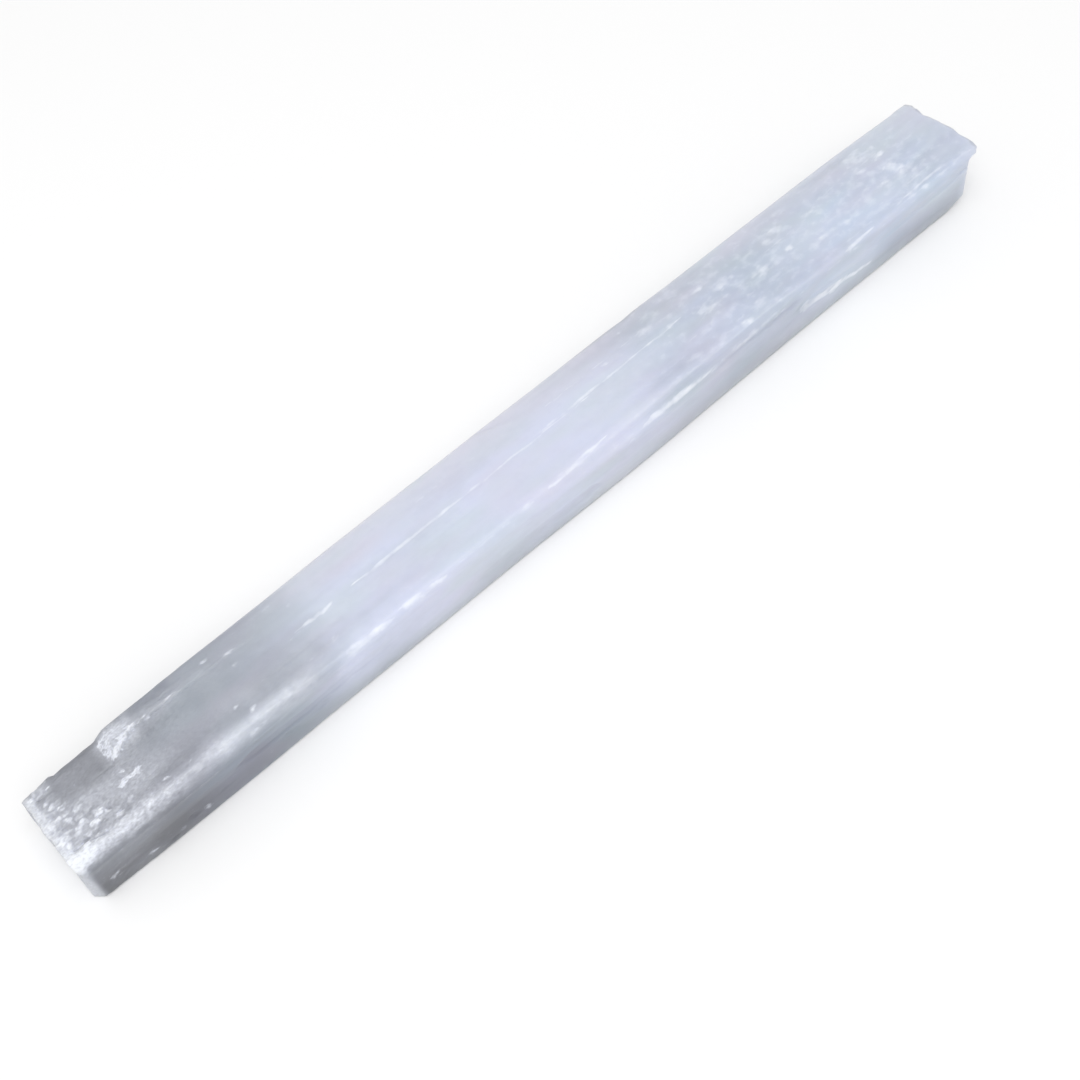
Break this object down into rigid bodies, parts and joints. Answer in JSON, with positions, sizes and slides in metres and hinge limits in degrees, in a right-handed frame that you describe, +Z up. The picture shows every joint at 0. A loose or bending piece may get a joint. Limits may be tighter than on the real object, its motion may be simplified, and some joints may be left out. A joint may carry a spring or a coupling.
{
  "type": "selenite crystal blade",
  "caption": "Rough natural stick of white satin-spar selenite, cleaved flat along its fibres, with splintered faces and a frosted, chipped end. It lies on its flat underside.",
  "frame": {"origin": "bottom centre of the blade's box, on the surface it lies on", "axes": "+X along the fibres, from the frosted end to the end with the overhanging lamina; +Y across the blade, to its back face; +Z up"},
  "size_m": [0.1912, 0.018, 0.0127],
  "materials": {
    "selenite": "satin, milky and partly see-through, with a silky sheen along the fibres"
  },
  "bodies": {
    "root": {"selenite_blade": "selenite"}
  },
  "joints": []
}
